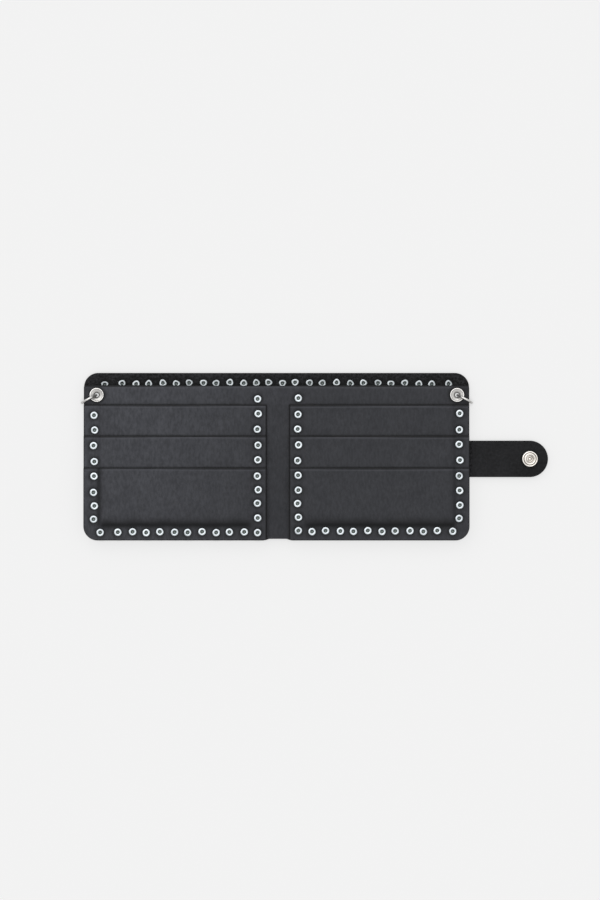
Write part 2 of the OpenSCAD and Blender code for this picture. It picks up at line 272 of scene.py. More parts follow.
def burnish_edges(piece, seam_xs=(), width=0.3 * MM):
    """Rounds the cut edges of a sheet, but not where it goes on into the next piece."""
    pick(piece)
    bpy.ops.object.mode_set(mode="EDIT")
    bpy.ops.mesh.select_mode(type="EDGE")
    bpy.ops.mesh.select_all(action="DESELECT")
    bpy.ops.mesh.edges_select_sharp(sharpness=math.radians(50))
    sheet = bmesh.from_edit_mesh(piece.data)
    for edge in sheet.edges:
        if edge.select:
            for x in seam_xs:
                if all(abs(v.co.x - x) < 1e-6 for v in edge.verts):
                    edge.select = False
    bmesh.update_edit_mesh(piece.data)
    bpy.ops.mesh.bevel(offset=width, segments=3, profile=0.5, affect="EDGES", clamp_overlap=True)
    bpy.ops.object.mode_set(mode="OBJECT")


def out_from_spine(points, sign):
    return (points[:, 0] - SPINE_X) * sign


def slot_outer(side):
    return max(abs(x - SPINE_X) for x, *_ in STUD_ROWS[f"edge_studs_{side}"]) - 2.4 * MM


def plateau(points, side):
    """1 over the card slots and 0 over the riveted borders, with a soft wall between."""
    wall = 1.9 * MM
    out = out_from_spine(points, SIDES[side])
    return (ease((out - SLOT_INNER) / (3 * wall)) * ease((slot_outer(side) - out) / wall)
            * ease((points[:, 1] - SLOT_FOOT) / (wall * 1.15)))


def wall_shade(points, side, rank):
    """How dark the foot of the moulded wall is: deepest under the frontmost pocket."""
    x, y = out_from_spine(points, SIDES[side]), points[:, 1]
    beside = (slot_outer(side) - 0.2 * MM) - x
    column = hump(beside, np.where(beside > 0, 2.3 * MM, 1.2 * MM)) * rise(y, -41 * MM, 3 * MM)
    if rank < FRONT:
        return column * BACK_WALL_SHADE
    below = y - (SLOT_FOOT + 0.8 * MM) - 0.5 * MM * ripple(points, 26 * MM, rank)
    along = rise(x, 11 * MM, 7 * MM) * ease((101 * MM - x) / (3 * MM))
    foot = 0.94 * hump(below, np.where(below > 0, 3.5 * MM, 2.1 * MM)) * along
    return np.maximum(foot, column * FRONT_WALL_SHADE[side])


def ripple(points, length, phase):
    """A slow unevenness, as hand-cut leather has, between -1 and 1."""
    x, y = points[:, 0] / length, points[:, 1] / length
    return (np.sin(x * 6.1 + 1.7 * np.sin(y * 3.7 + phase) + phase)
            * np.cos(y * 5.3 + 1.3 * np.sin(x * 2.9 - phase)) * 0.6
            + 0.4 * np.sin((x + y) * 11.3 + 2.1 * phase))


def above(points, y, width):
    """1 just above a line, fading out over width."""
    return (points[:, 1] > y - 0.15 * MM) * fall(points[:, 1], y, width)


def inset_from_edge(points, side):
    """How far inside the half's outer, rounded and lower edges each point lies."""
    out = out_from_spine(points, SIDES[side])
    outer = abs(PANEL_EDGE[side] - SPINE_X)
    corner_x = np.maximum(out - (outer - CORNER_R), 0)
    corner_y = np.maximum((WALLET_LOW_Y + CORNER_R) - points[:, 1], 0)
    straight = np.minimum(outer - out, points[:, 1] - WALLET_LOW_Y)
    return np.where((corner_x > 0) & (corner_y > 0), CORNER_R - np.hypot(corner_x, corner_y), straight)


def sheet_shades(piece, side, top_y, studs, walls, inner_edge=None, slot_shadow_lines=()):
    """Stores where a sheet is a black dyed cut edge, where painted shadow lies above a slot line, where
    it is painted darker round a stud (shade with some dirt) or at a wall (shade), and a painted highlight
    along its lip.
    """
    points = points_of(piece)
    out = out_from_spine(points, SIDES[side])
    inset = inset_from_edge(points, side)
    mouth = top_y - points[:, 1]
    if inner_edge is not None:
        inset = np.minimum(inset, out - inner_edge)
    # Black dyed cut edges round the sheet and along its mouth, where the dark band reaches onto the face
    # partly as painted shade.
    dark = np.maximum(fall(inset, 0.1 * MM, 0.4 * MM), fall(mouth, 0.36 * MM, 0.5 * MM))
    # Painted shadow on this sheet just above the mouth of each pocket lying on it.
    for y, from_out in slot_shadow_lines:
        dark = np.maximum(dark, 0.96 * above(points, y, 1.0 * MM) * (out > from_out - 0.1 * MM))
    store(piece, "dyed_edge_and_slot_shadow", dark)
    # Painted shade, with some dirt, round each stud, and painted shade at the feet of the walls.
    halo = (1 - np.clip((distance_to(points, studs) - 2.0 * MM) / (2.7 * MM), 0, 1)) ** 1.6
    store(piece, "pressed", np.maximum(0.95 * halo, walls(points)))
    # Painted highlight along the lip, just below the mouth.
    store(piece, "lip", rise(mouth, 0.5 * MM, 0.3 * MM) * fall(mouth, 0.9 * MM, 0.9 * MM))


def press_round_studs(points, studs, depth):
    points[:, 2] -= depth * fall(distance_to(points, studs), 2.0 * MM, 1.7 * MM)


def pocket_sheet(side, rank):
    """One card pocket, rank 0 rearmost. It bulges over its slot, and its mouth stands off a little."""
    sign = SIDES[side]
    node = f"{LEVELS[rank]}_pocket_{side}"
    left, right = low(node), high(node)
    edge_x, inner_x = (right.x, left.x) if sign > 0 else (left.x, right.x)
    top_y = right.y
    studs = studs_in(side, *BORDER_ROWS)
    piece = grid(f"{node}_leather", lines(left.x, right.x), lines(WALLET_LOW_Y, top_y), right.z)
    points = points_of(piece)
    round_corner(points, edge_x, WALLET_LOW_Y, -sign, 1, CORNER_R)
    round_corner(points, inner_x, WALLET_LOW_Y, sign, 1, 1.5 * MM)
    bulge = (0.42 + 0.16 * rank) * MM
    mouth = rise(points[:, 1], top_y - 6 * MM, 6 * MM)
    unevenness = 0.07 * MM * ripple(points, 30 * MM, rank + sign)
    points[:, 2] += plateau(points, side) * (bulge + 0.2 * MM * mouth + unevenness)
    press_round_studs(points, studs, 0.22 * MM)
    wave = np.sin((points[:, 0] - left.x) / (17 * MM) + rank * 2 + sign)
    points[:, 1] += rise(points[:, 1], top_y - 2 * MM, 2 * MM) * 0.16 * MM * wave
    move_points(piece, points)
    cut_faces(piece, near_any(studs, STUD_HOLE_R))
    apply_modifier(piece, "SOLIDIFY", thickness=POCKET_THICK, offset=-1, use_even_offset=True)
    burnish_edges(piece)
    smooth_look(piece)
    under = [(high(f"{LEVELS[rank + 1]}_pocket_{side}").y, 0)] if rank < FRONT else []
    sheet_shades(piece, side, top_y, studs, lambda points: wall_shade(points, side, rank),
                 inner_edge=abs(inner_x - SPINE_X), slot_shadow_lines=under)
    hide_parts(node)
    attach(piece, f"{side}_half")
    return piece


def draw_in_at_spine(points, depth):
    """The spine's lower edge draws in a little between the halves."""
    foot = fall(points[:, 1], WALLET_LOW_Y, 3 * MM)
    from_middle = np.abs(points[:, 0] - SPINE_X)
    points[:, 1] += foot * (depth * fall(from_middle, 4.4 * MM, 3.2 * MM))


def bend_over_fold(piece):
    """Bakes the piece's place into its mesh."""
    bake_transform(piece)


def shape_panel(points, side, top_y, studs):
    """The inner panel's outline, its creases along the fold, and its dips at the studs."""
    sign, edge_x = SIDES[side], PANEL_EDGE[side]
    draw_in_at_spine(points, 0.8 * MM)
    round_corner(points, edge_x, WALLET_LOW_Y, -sign, 1, CORNER_R)
    round_corner(points, edge_x, top_y, -sign, -1, 1.2 * MM)
    out = out_from_spine(points, sign)
    points[:, 2] += fall(out, 93 * MM, 4 * MM) * 0.1 * MM * ripple(points, 34 * MM, sign)
    crease = hump(out - 5.6 * MM, 0.9 * MM) + 0.6 * hump(out - 2.4 * MM, 0.8 * MM)
    points[:, 2] -= 0.16 * MM * crease
    press_round_studs(points, studs, 0.15 * MM)
    wave = np.sin(points[:, 0] / (23 * MM))
    points[:, 1] += rise(points[:, 1], top_y - 3 * MM, 3 * MM) * 0.15 * MM * wave


def thicken_glued_border(piece, side):
    """Takes the panel's underside down to the cover wherever the two are glued together."""
    points = points_of(piece)
    out = out_from_spine(points, SIDES[side])
    underside = points[:, 2] < PANEL_TOP - 0.7 * MM
    glued = np.maximum(rise(out, 95.5 * MM, 1.5 * MM), fall(points[:, 1], -39.6 * MM, 1.5 * MM))
    clear = rise(distance_to(points, STUD_ROWS[f"top_studs_{side}"]), 2.4 * MM, 0.7 * MM)
    points[underside, 2] -= (0.57 * MM * glued * clear)[underside]
    move_points(piece, points)


def panel_sheet(side):
    """Half of the inner panel, from the middle of the spine out."""
    sign = SIDES[side]
    node = f"inner_panel_{side}"
    top_y = high(node).y
    edge_x = PANEL_EDGE[side]
    studs = studs_in(side, *BORDER_ROWS)
    grommet_at = middle_of(f"grommet_{side}")
    x_lines = lines(min(SPINE_X, edge_x), max(SPINE_X, edge_x))
    piece = grid(f"{node}_leather", x_lines, lines(WALLET_LOW_Y, top_y), high(node).z)
    points = points_of(piece)
    shape_panel(points, side, top_y, studs)
    move_points(piece, points)
    at_stud, at_grommet = near_any(studs, STUD_HOLE_R), near_any([grommet_at], GROMMET_HOLE_R)
    cut_faces(piece, lambda x, y: at_stud(x, y) or at_grommet(x, y))
    apply_modifier(piece, "SOLIDIFY", thickness=PANEL_THICK, offset=-1, use_even_offset=True)
    thicken_glued_border(piece, side)
    burnish_edges(piece, seam_xs=(SPINE_X,))
    smooth_look(piece)
    pocket_x = abs((low if sign > 0 else high)(f"top_pocket_{side}").x - SPINE_X)
    pocket_top = high(f"top_pocket_{side}").y

    # Painted shade round the grommet, in the top outer corner, in a thin line beside the pockets' inner
    # edges, and faintly over the spine strip.
    def walls(points):
        out = out_from_spine(points, sign)
        rim = fall(distance_to(points, [grommet_at]), 3.7 * MM, 2.6 * MM)
        corner = 0.5 * rise(out, 95 * MM, 9 * MM) * rise(points[:, 1], 26 * MM, 5 * MM)
        beside_pockets = hump(pocket_x - out, 0.55 * MM) * (points[:, 1] < pocket_top)
        strip = 0.12 * fall(out, 3 * MM, 4 * MM) * (points[:, 1] < pocket_top)
        return np.maximum.reduce([rim, corner, beside_pockets, strip])
    sheet_shades(piece, side, top_y, studs, walls, slot_shadow_lines=[(pocket_top, pocket_x)])
    bend_over_fold(piece)
    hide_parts(node, *(["inner_panel_spine"] if sign > 0 else []))
    return piece


def cover_sheet(side):
    """Half of the cover, from the middle of the spine out. The right half runs on into the strap."""
    sign = SIDES[side]
    node = f"cover_{side}"
    edge_x = PANEL_EDGE[side]
    studs = studs_in(side, "edge", "bottom", "top")
    if sign > 0:
        studs += STUD_ROWS["top_stud_spine"]
        small_holes, seams = studs, (SPINE_X, NECK_X)
        x_lines = lines(SPINE_X, edge_x, NECK_X)
        y_lines = lines(WALLET_LOW_Y, STRAP_LOW_Y, STRAP_HIGH_Y, WALLET_HIGH_Y)
    else:
        small_holes, seams = studs + [middle_of("snap_stud")], (SPINE_X,)
        x_lines = lines(edge_x, SPINE_X)
        y_lines = lines(WALLET_LOW_Y, WALLET_HIGH_Y)
    piece = grid(f"{node}_leather", x_lines, y_lines, COVER_TOP)
    cut_faces(piece, lambda x, y: (x - edge_x) * sign > 0 and not STRAP_LOW_Y < y < STRAP_HIGH_Y)
    points = points_of(piece)
    draw_in_at_spine(points, 0.9 * MM)
    round_corner(points, edge_x, WALLET_LOW_Y, -sign, 1, CORNER_R)
    round_corner(points, edge_x, WALLET_HIGH_Y, -sign, -1, CORNER_R)
    move_points(piece, points)
    at_small = near_any(small_holes, STUD_HOLE_R)
    at_grommet = near_any([middle_of(f"grommet_{side}")], GROMMET_HOLE_R)
    cut_faces(piece, lambda x, y: at_small(x, y) or at_grommet(x, y))
    apply_modifier(piece, "SOLIDIFY", thickness=COVER_THICK, offset=-1, use_even_offset=True)
    burnish_edges(piece, seam_xs=seams, width=0.4 * MM)
    smooth_look(piece)
    cover_shades(piece, studs, 2.6 * MM, 2.2 * MM)
    bend_over_fold(piece)
    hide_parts(node, *(["cover_spine"] if sign > 0 else []))
    return piece


def cover_shades(piece, pressed_by, reach, fade):
    """The inner face is the rough flesh side, its walls are dyed cut edges, and round the metal it is
    painted darker as shade with some dirt.
    """
    points = points_of(piece)
    half = COVER_THICK / 2
    from_middle = points[:, 2] - (COVER_TOP - half)
    store(piece, "dyed_edge_and_slot_shadow", fall(np.abs(from_middle) / half, 0.55, 0.42))
    store(piece, "flesh", ease(from_middle / half * 1.2))
    # Painted shade, with some dirt, round the metal.
    store(piece, "pressed", fall(distance_to(points, pressed_by), reach, fade))


def strap_piece(name, x0, x1, seams, round_end=False):
    """A length of the strap. Only the tip has a round end, with a hole for the snap."""
    piece = grid(name, lines(x0, x1), lines(STRAP_LOW_Y, STRAP_HIGH_Y), COVER_TOP)
    holes = [middle_of("snap_socket")] if round_end else []
    if round_end:
        points = points_of(piece)
        half = (STRAP_HIGH_Y - STRAP_LOW_Y) / 2
        round_corner(points, x1, STRAP_LOW_Y, -1, 1, half)
        round_corner(points, x1, STRAP_HIGH_Y, -1, -1, half)
        move_points(piece, points)
        cut_faces(piece, near_any(holes, SNAP_HOLE_R))
    apply_modifier(piece, "SOLIDIFY", thickness=COVER_THICK, offset=-1, use_even_offset=True)
    burnish_edges(piece, seam_xs=seams, width=0.4 * MM)
    smooth_look(piece)
    cover_shades(piece, holes, 4.2 * MM, 1.8 * MM)
    store(piece, "pressed_smooth", np.ones(len(piece.data.vertices)))
    return piece


def strap_riser():
    """The strap from the wallet's edge to half way up the closed wallet's side."""
    piece = strap_piece("strap_riser_leather", NECK_X, STRAP_HALF_WAY, seams=(NECK_X, STRAP_HALF_WAY))
    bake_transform(piece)
    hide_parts("strap_riser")
    return piece


def strap_tip():
    """The rest of the strap, which lies on the closed wallet."""
    piece = strap_piece("strap_tip_leather", STRAP_HALF_WAY, STRAP_END_X, seams=(STRAP_HALF_WAY,),
                        round_end=True)
    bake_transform(piece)
    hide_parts("strap_tip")
    return piece


# ---------------------------------------------------------------- turned metal, in millimetres

HEAD_R = 3.2
HEAD_H = 2.6
POST_R = 1.3
ROLL_R = 2.19
TUBE_R = 0.96
ROLL_H = 0.45
TOP_CRIMP = 0.06
LEATHER_TOP = PANEL_TOP / MM
PANEL_UNDER = LEATHER_TOP - PANEL_THICK / MM
THROAT_R = 1.2
BARREL_R = 2.66
RING_R = 4.6
WIRE_R = 0.6
JOINT_AT = math.radians(-61.9)
SPRING_R = 2.15
SPRING_WIRE_R = 0.17
SOCKET_R = 4.43
CAP_R = 5.8
STUD_TURN = 2.39996


def arc(cx, cz, radius, start, end, count):
    """Points of an arc in a profile, in degrees, where 0 points away from the axis."""
    out = []
    for k in range(count + 1):
        a = math.radians(start + (end - start) * k / count)
        out.append((cx + radius * math.cos(a), cz + radius * math.sin(a)))
    return out


def turned(name, profile, segments, close=False, cap_start=False, cap_end=False):
    """A lathe piece: a ring is pulled through each (radius, height) of the profile."""
    deselect()
    radius, height = profile[0]
    bpy.ops.mesh.primitive_circle_add(vertices=segments, radius=radius * MM, fill_type="NOTHING")
    piece = bpy.context.object
    piece.name = name
    bpy.ops.object.mode_set(mode="EDIT")
    bpy.ops.mesh.select_mode(type="EDGE")
    bpy.ops.mesh.select_all(action="SELECT")
    bpy.ops.transform.translate(value=(0, 0, height * MM))
    if cap_start:
        bpy.ops.mesh.edge_face_add()
    for next_radius, next_height in profile[1:]:
        bpy.ops.mesh.extrude_edges_move(
            TRANSFORM_OT_translate={"value": (0, 0, (next_height - height) * MM)})
        factor = next_radius / radius
        bpy.ops.transform.resize(value=(factor, factor, 1),
                                 center_override=(0, 0, next_height * MM))
        radius, height = next_radius, next_height
    if cap_end:
        bpy.ops.mesh.edge_face_add()
    bpy.ops.mesh.select_all(action="SELECT")
    if close:
        bpy.ops.mesh.remove_doubles(threshold=1e-6)
    bpy.ops.mesh.normals_make_consistent(inside=False)
    bpy.ops.object.mode_set(mode="OBJECT")
    smooth_look(piece, 50)
    return piece


def distance_from_axis(points):
    return np.hypot(points[:, 0], points[:, 1]) / MM


def heights(points):
    return points[:, 2] / MM


def stays_bright(piece):
    store(piece, "tarnish_and_shade", np.zeros(len(piece.data.vertices)))


def rolled_rim(top):
    """The tube's end, turned out and down on to the leather like a tiny doughnut."""
    mid_r = (ROLL_R + TUBE_R) / 2
    tube = (ROLL_R - TUBE_R) / 2
    squash = 0.44 / (tube * 1.55)
    return [(r, top + (z + tube * 0.55) * squash) for r, z in arc(mid_r, 0, tube, -33, 205, 12)]


def domed_head():
    """From the middle of the head's crown, out over the dome, to the post."""
    skirt, crown = 0.5, 1.2
    rim = HEAD_H - skirt
    dome_z = (HEAD_R ** 2 + rim ** 2 - crown ** 2) / (2 * rim)
    dome_r = math.hypot(crown, dome_z)
    first = math.degrees(math.atan2(-dome_z, crown))
    last = math.degrees(math.atan2(rim - dome_z, HEAD_R))
    return [(0.6, 0.0), *arc(0, dome_z, dome_r, first, last, 9), (HEAD_R, HEAD_H - 0.12),
            (HEAD_R - 0.12, HEAD_H - 0.005), (POST_R, HEAD_H - 0.005)]


def flat_back():
    back = PANEL_UNDER - 0.4
    return [(0.6, back), (2.0, back), (2.13, back + 0.1), (2.13, PANEL_UNDER), (POST_R, PANEL_UNDER)]


def stud_model(top, outside_head):
    """A tubular stud, with its domed head below or with a flat back, and its end rolled over at top."""
    floor = top - 0.75
    profile = domed_head() if outside_head else flat_back()
    profile += [(POST_R, top - 0.01), *rolled_rim(top), (TUBE_R * 0.97, top - 0.25),
                (TUBE_R * 0.9, floor + 0.2), (TUBE_R * 0.7, floor), (0.25, floor - 0.05)]
    piece = turned("stud_model", profile, segments=28, cap_start=True, cap_end=True)
    points = points_of(piece)
    # Painted shade, deepening down inside the tube.
    inside = ease((1.3 - distance_from_axis(points)) / 0.3) * (heights(points) > floor - 0.2)
    depth = top + 0.3 - heights(points)
    store(piece, "tarnish_and_shade", inside * rise(depth, 0.1, 0.45))
    return piece


def set_by_hand(stud, number, x, y, level, crimp):
    """Turns a copy of the stud its own way and rolls it a little unevenly, then puts it in its hole."""
    points = points_of(stud)
    angle = np.arctan2(points[:, 1], points[:, 0])
    rolled = ease((heights(points) - level + 0.05) / 0.2)
    wide, fine = np.sin(2 * angle + number * 2.4), np.sin(5 * angle + number * 1.7)
    pinch = crimp * (np.sin(3 * angle) - 0.6)
    lobe = 1 + rolled * (0.018 * wide + 0.012 * fine - 0.02 + pinch)
    turn = number * STUD_TURN
    px, py = points[:, 0] * lobe, points[:, 1] * lobe
    points[:, 0] = x + px * math.cos(turn) - py * math.sin(turn)
    points[:, 1] = y + px * math.sin(turn) + py * math.cos(turn)
    points[:, 2] += rolled * 0.03 * MM * np.sin(angle + number * 1.3)
    move_points(stud, points)


def joined(pieces, name):
    deselect()
    for piece in pieces:
        piece.select_set(True)
    bpy.context.view_layer.objects.active = pieces[0]
    if len(pieces) > 1:
        bpy.ops.object.join()
    bpy.context.object.name = name
    return bpy.context.object


def stud_row(node, body, outside_head=True, crimp=0.0):
    """Copies one stud to every place in a row."""
    models, copies = {}, []
    for number, (x, y, _, top) in enumerate(STUD_ROWS[node]):
        level = round((top - ROLL_H * MM) / MM, 2)
        if level not in models:
            models[level] = stud_model(level, outside_head)
        pick(models[level])
        bpy.ops.object.duplicate(linked=False)
        copies.append(bpy.context.object)
        set_by_hand(copies[-1], number, x, y, level, crimp)
    row = joined(copies, f"{node}_rolled")
    for model in models.values():
        bpy.data.objects.remove(model)
    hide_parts(node)
    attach(row, body)
    return row


def place(piece, x, y, z=0.0):
    move_points(piece, points_of(piece) + np.array([x, y, z]))


def fit(piece, node, body):
    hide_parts(node)
    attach(piece, body)
    return piece


def grommet(side):
    """A grommet: a bright lip, a shallow dish down to a small throat, and a flared foot."""
    node = f"grommet_{side}"
    foot, top = low(node).z / MM, high(node).z / MM
    lip = arc(3.62, LEATHER_TOP + 0.36, 0.36, -60, 150, 10)
    dish = [(3.05, 0.34), (2.7, 0.26), (2.2, 0.1), (1.75, -0.1), (1.4, -0.34)]
    throat = [(THROAT_R, -0.65), (THROAT_R, -1.3), (1.55, -2.0), (2.0, -2.6), (2.3, -3.0)]
    flare = [(2.62, 0.25), (2.75, 0.02), (3.0, 0.04), (3.25, 0.16), (3.2, 0.24), (BARREL_R, 0.2)]
    profile = [(BARREL_R, LEATHER_TOP + 0.01), (3.7, LEATHER_TOP + 0.01)]
    profile += [(r, min(z, top)) for r, z in lip]
    profile += [(r, LEATHER_TOP + z) for r, z in dish + throat]
    profile += [(r, foot + z) for r, z in flare]
    profile += profile[:1]
    piece = turned(f"{node}_dished", profile, segments=56, close=True)
    points = points_of(piece)
    radius = distance_from_axis(points)
    depth = LEATHER_TOP + 0.3 - heights(points)
    # Painted shade over the dish, eased off in its lower part, and deepening down the throat.
    in_dish, in_throat = ease((3.15 - radius) / 0.35), ease((1.5 - radius) / 0.3)
    lighter_inner_dish = 0.2 * ease((2.6 - radius) / 0.6)
    store(piece, "tarnish_and_shade", 0.56 * in_dish - lighter_inner_dish + 0.6 * in_throat * rise(depth, 0.5, 0.6))
    place(piece, *middle_of(node))
    return fit(piece, node, f"{side}_half")


def washer(side):
    node = f"grommet_washer_{side}"
    face, back = low(node).z / MM, high(node).z / MM
    profile = [(2.78, face + 0.06), (2.84, face), (3.55, face), (3.66, face + 0.08),
               (3.7, back - 0.06), (3.7, back - 0.005), (2.78, back - 0.005), (2.78, face + 0.06)]
    piece = turned(f"{node}_turned", profile, segments=48, close=True)
    stays_bright(piece)
    place(piece, *middle_of(node))
    return fit(piece, node, f"{side}_half")


def wire_ring(name, ring_r, wire_r, ring_segments, wire_segments):
    """A ring of round wire, flat at the origin, whose two ends meet in a butt joint."""
    deselect()
    bpy.ops.mesh.primitive_torus_add(major_segments=ring_segments, minor_segments=wire_segments,
                                     major_radius=ring_r * MM, minor_radius=wire_r * MM)
    ring = bpy.context.object
    ring.name = name
    open_the_joint(ring)
    return ring


def open_the_joint(ring):
    """Takes one thin slice out of the ring and caps the two wire ends."""
    pick(ring)
    bpy.ops.object.mode_set(mode="EDIT")
    bpy.ops.mesh.select_mode(type="FACE")
    bpy.ops.mesh.select_all(action="DESELECT")
    wire = bmesh.from_edit_mesh(ring.data)
    for face in wire.faces:
        middle = face.calc_center_median()
        face.select = abs(math.atan2(middle.y, middle.x) - JOINT_AT) < math.radians(1.9)
    bmesh.update_edit_mesh(ring.data)
    bpy.ops.mesh.delete(type="FACE")
    bpy.ops.mesh.select_all(action="SELECT")
    bpy.ops.mesh.fill_holes(sides=0)
    bpy.ops.object.mode_set(mode="OBJECT")


def chain_ring(side):
    """A jump ring, upright through its grommet and round the wallet's edge."""
    node = f"chain_ring_{side}"
    a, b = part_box(node)
    sign = SIDES[side]
    hole = middle_of(f"grommet_{side}")
    far_x = (b.x if sign > 0 else a.x) - sign * WIRE_R * MM
    reach = abs(far_x - hole[0])
    drop = hole[1] - (a.y + WIRE_R * MM)
    heading = math.atan2(-drop, sign * reach)
    centre_out = math.hypot(drop, reach) - RING_R * MM
    piece = wire_ring(f"{node}_wire", RING_R, WIRE_R, 96, 20)
    piece.rotation_euler = (math.radians(90), 0, heading)
    piece.location = (hole[0] + centre_out * math.cos(heading),
                      hole[1] + centre_out * math.sin(heading), (a.z + b.z) / 2)
    settle(piece)
    smooth_look(piece, 50)
    points = points_of(piece)
    # The wire is painted darker where it runs through the grommet's hole, as shade, and somewhat darker
    # at the ring's outer end.
    in_hole = fall(distance_to(points, [hole]), 1.6 * MM, 1.6 * MM)
    outer_end = ease((1.9 * MM - np.abs(points[:, 0] - far_x)) / (1.8 * MM))
    store(piece, "tarnish_and_shade", np.maximum(0.95 * in_hole, 0.4 * outer_end))
    return fit(piece, node, f"ring_{side}")


def snap_socket():
    """The socket on the strap: an outer roll, a dark groove, and an inner roll down into the well."""
    face = low("snap_socket").z / MM
    well = 0.36
    profile = [(1.47, 0), (SOCKET_R - 0.13, 0), (SOCKET_R, 0.15), (SOCKET_R, 1.3),
               *arc(3.98, 1.3, 0.45, 0, 135, 7), (3.5, 1.4), (3.38, 1.38), (3.28, 1.45),
               *arc(2.82, 1.8, 0.48, 10, 150, 8), (2.36, 1.9), (2.65, 1.85), (2.7, 1.2),
               (2.55, 0.5), (2.3, well), (1.47, well), (1.47, 0)]
    profile = [(r, face + z) for r, z in profile]
    piece = turned("snap_socket_rolled", profile, segments=56, close=True)
    points = points_of(piece)
    radius, height = distance_from_axis(points), heights(points) - face
    # Painted shade in the groove between the rolls and down inside the well.
    groove = 0.9 * hump(radius - 3.42, 0.2) * (height > 1.0)
    turned_in = 0.8 * ease((2.75 - radius) / 0.2) * (height < 2.0)
    store(piece, "tarnish_and_shade", np.maximum(groove, turned_in))
    place(piece, *middle_of("snap_socket"))
    return fit(piece, "snap_socket", "strap_tip")


def snap_spring():
    piece = wire_ring("snap_spring_wire", SPRING_R, SPRING_WIRE_R, 72, 12)
    settle(piece)
    smooth_look(piece, 50)
    store(piece, "tarnish_and_shade", np.full(len(piece.data.vertices), 0.2))
    place(piece, *middle_of("snap_socket"), low("snap_spring").z + 0.175 * MM)
    return fit(piece, "snap_spring", "strap_tip")


def snap_cap():
    """The cap on the strap's outside, with its post rolled over in the socket round a small pip."""
    face = low("snap_socket").z / MM
    foot, leather = low("snap_cap").z / MM, low("strap_tip").z / MM
    rim = 0.5
    bulge = leather - foot - rim
    dome_r = (CAP_R ** 2 + bulge ** 2) / (2 * bulge)
    first = math.degrees(math.atan2(-dome_r, 0.5))
    last = -math.degrees(math.acos((CAP_R - 0.08) / dome_r))
    dome = [*arc(0, foot + dome_r, dome_r, first, last, 12), (5.79, leather - rim + 0.1),
            (5.78, leather - 0.1), (5.68, leather - 0.005), (1.38, leather - 0.005)]
    post = [(1.38, 0.35), *arc(1.45, 0.46, 0.36, -20, 170, 7), (1.06, 0.5), (1.0, 0.32), (0.88, 0.32),
            (0.84, 0.45), *arc(0.2, 0.28, 0.62, 30, 80, 4)]
    profile = dome + [(r, face + z) for r, z in post]
    piece = turned("snap_cap_domed", profile, segments=64, cap_start=True, cap_end=True)
    points = points_of(piece)
    # Painted shade in the crease round the pip.
    crease = hump(distance_from_axis(points) - 0.97, 0.12)
    store(piece, "tarnish_and_shade", 0.9 * crease * (heights(points) > face - 0.3))
    place(piece, *middle_of("snap_socket"))
    return fit(piece, "snap_cap", "strap_tip")


def snap_stud():
    """The stud on the left cover's outside, facing down while the wallet is open."""
    base = high("snap_stud").z / MM
    profile = [(1.17, -0.005), (3.38, -0.005), (3.38, -0.2), (3.2, -0.32), (1.62, -0.35), (1.46, -0.5),
               (1.45, -1.0), *arc(1.4, -1.45, 0.44, 60, -60, 7), (1.35, -2.05), (1.2, -2.1),
               (1.17, -2.0), (1.17, -0.005)]
    piece = turned("snap_stud_turned", [(r, base + z) for r, z in profile], segments=48, close=True)
    stays_bright(piece)
    place(piece, *middle_of("snap_stud"))
    return fit(piece, "snap_stud", "left_half")


def snap_stud_rivet():
    """The rivet that holds the stud, with its flange between the cover and the inner panel."""
    base = high("snap_stud").z / MM
    flange = low("cover_left").z / MM + COVER_THICK / MM
    profile = [(0.3, flange + 0.38), (3.0, flange + 0.38), (3.18, flange + 0.25), (3.18, flange + 0.01),
               (1.1, flange + 0.01), (1.1, base - 1.4), (0.95, base - 1.5), (0.3, base - 1.5)]
    piece = turned("snap_stud_rivet_turned", profile, segments=40, cap_start=True, cap_end=True)
    stays_bright(piece)
    place(piece, *middle_of("snap_stud"))
    return fit(piece, "snap_stud_rivet", "left_half")


# ---------------------------------------------------------------- materials

# The pocket leather's tone at its left and right ends: painted lighter at the left and darker at the
# right, as the light falls.
POCKET_LIT_LEFT = 0.0585
POCKET_SHADED_RIGHT = 0.033


class Wire:
    """A socket that adds Math nodes when it is used in a sum."""

    def __init__(self, look, socket):
        self.look = look
        self.socket = socket

    def maths(self, operation, first, second):
        return self.look.node("ShaderNodeMath", {"operation": operation}, {0: first, 1: second})

    def __add__(self, other):
        return self.maths("ADD", self, other)

    __radd__ = __add__

    def __mul__(self, other):
        return self.maths("MULTIPLY", self, other)

    __rmul__ = __mul__

    def __sub__(self, other):
        return self.maths("SUBTRACT", self, other)

    def __rsub__(self, other):
        return self.maths("SUBTRACT", other, self)


